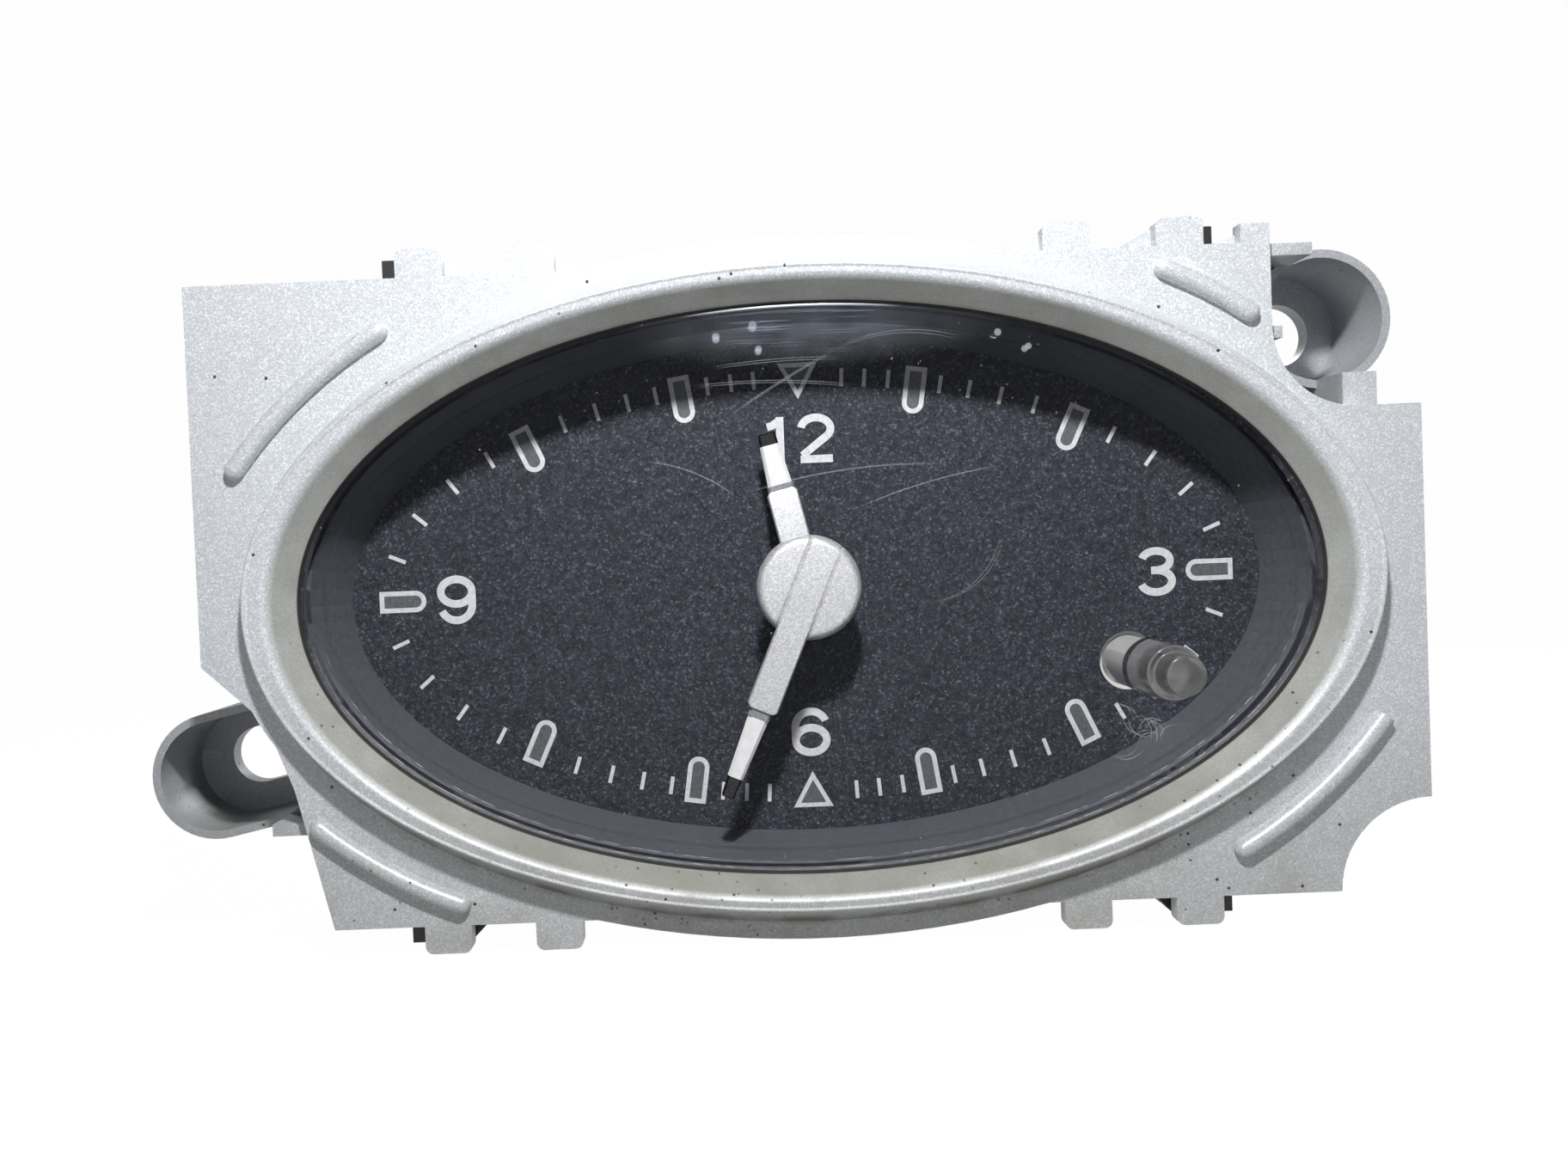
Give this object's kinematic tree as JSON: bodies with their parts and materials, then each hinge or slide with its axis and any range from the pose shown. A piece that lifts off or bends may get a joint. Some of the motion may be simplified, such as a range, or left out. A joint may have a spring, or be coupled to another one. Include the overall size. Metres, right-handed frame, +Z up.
{
  "type": "dashboard clock",
  "caption": "Oval analogue quartz clock for a car dashboard, in a silver fascia frame with screw pockets, a push button for setting, and a clip-fit housing with bulbs behind.",
  "frame": {"origin": "middle of the oval lens opening, in the front face of the plate", "axes": "+X to three o'clock, +Y to the back of the clock, +Z up to twelve o'clock"},
  "size_m": [0.1323, 0.0508, 0.0706],
  "materials": {
    "frame_silver": "silver paint with fine metallic flake on moulded plastic, satin, grimy along the lower edge",
    "lens_clear": "clear moulded acrylic with fine scratches",
    "shroud_grey": "dark grey moulded plastic, satin",
    "dial_charcoal": "charcoal paint with fine metallic grain",
    "guide_white": "milky translucent acrylic",
    "housing_black": "black moulded plastic, finely grained",
    "board_green": "green solder mask on glass-fibre board",
    "pin_metal": "tinned brass",
    "chip_black": "black moulded plastic, matte",
    "crystal_can": "drawn metal can",
    "capacitor_blue": "glossy sleeve",
    "screw_steel": "zinc-plated steel",
    "movement_ivory": "ivory moulded plastic",
    "stator_steel": "stamped soft steel",
    "coil_copper": "enamelled copper wire",
    "rotor_grey": "plastic-bonded magnet",
    "wheel_white": "white acetal",
    "wheel_brass": "turned brass",
    "hand_silver": "silver paint with a white window and a black tip",
    "button_clear": "clear moulded plastic",
    "holder_grey": "dark moulded plastic",
    "bulb_glass": "clear glass"
  },
  "bodies": {
    "case": {"front_frame": "frame_silver", "lens": "lens_clear", "shroud": "shroud_grey", "dial": "dial_charcoal", "light_guide": "guide_white", "rear_housing": "housing_black", "circuit_board": "board_green", "connector_pins": "pin_metal", "clock_chip": "chip_black", "quartz_crystal": "crystal_can", "capacitor": "capacitor_blue", "board_screws": "screw_steel", "movement_front_plate": "movement_ivory", "movement_back_plate": "movement_ivory", "movement_screws": "screw_steel", "stator": "stator_steel", "coil_core": "stator_steel", "coil_bobbin": "movement_ivory", "coil_winding": "coil_copper", "switch_body": "chip_black"},
    "minute": {"centre_wheel": "wheel_brass", "cannon_pinion": "wheel_brass", "minute_hand": "hand_silver"},
    "hour": {"hour_wheel": "wheel_white", "hour_hand": "hand_silver"},
    "motion_work": {"motion_wheel": "wheel_white"},
    "intermediate": {"intermediate_wheel": "wheel_white"},
    "motor_rotor": {"rotor": "rotor_grey"},
    "button": {"set_button": "button_clear", "switch_plunger": "chip_black"},
    "left_lamp": {"bulb_holder_left": "holder_grey", "bulb_left": "bulb_glass"},
    "right_lamp": {"bulb_holder_right": "holder_grey", "bulb_right": "bulb_glass"}
  },
  "joints": [
    {"name": "minute_turn", "type": "hinge", "parent": "case", "child": "minute", "pos_m": [0, 0.01, 0], "axis": [0, 1, 0], "continuous": true},
    {"name": "hour_turn", "type": "hinge", "parent": "case", "child": "hour", "pos_m": [0, 0.01, 0], "axis": [0, 1, 0], "continuous": true},
    {"name": "motion_turn", "type": "hinge", "parent": "case", "child": "motion_work", "pos_m": [-0.0052, 0.017, 0.003], "axis": [0, 1, 0], "continuous": true},
    {"name": "intermediate_turn", "type": "hinge", "parent": "case", "child": "intermediate", "pos_m": [0.00564, 0.019, 0.00205], "axis": [0, 1, 0], "continuous": true},
    {"name": "rotor_turn", "type": "hinge", "parent": "case", "child": "motor_rotor", "pos_m": [0.00661, 0.02, 0.00757], "axis": [0, 1, 0], "continuous": true},
    {"name": "set_press", "type": "slide", "parent": "case", "child": "button", "axis": [0, 1, 0], "range_m": [0, 0.0012], "stiffness_N_per_m": 1500, "springref_m": -0.0004},
    {"name": "left_lamp_twist", "type": "hinge", "parent": "case", "child": "left_lamp", "pos_m": [-0.03, 0.032, 0.006], "axis": [0, 1, 0], "range_deg": [0, 45]},
    {"name": "right_lamp_twist", "type": "hinge", "parent": "case", "child": "right_lamp", "pos_m": [0.03, 0.032, 0.006], "axis": [0, 1, 0], "range_deg": [0, 45]}
  ],
  "couplings": [
    {"joint": "hour_turn", "follows": "minute_turn", "ratio": 0.083333},
    {"joint": "motion_turn", "follows": "minute_turn", "ratio": -0.33333},
    {"joint": "intermediate_turn", "follows": "minute_turn", "ratio": -5},
    {"joint": "rotor_turn", "follows": "minute_turn", "ratio": 30}
  ]
}
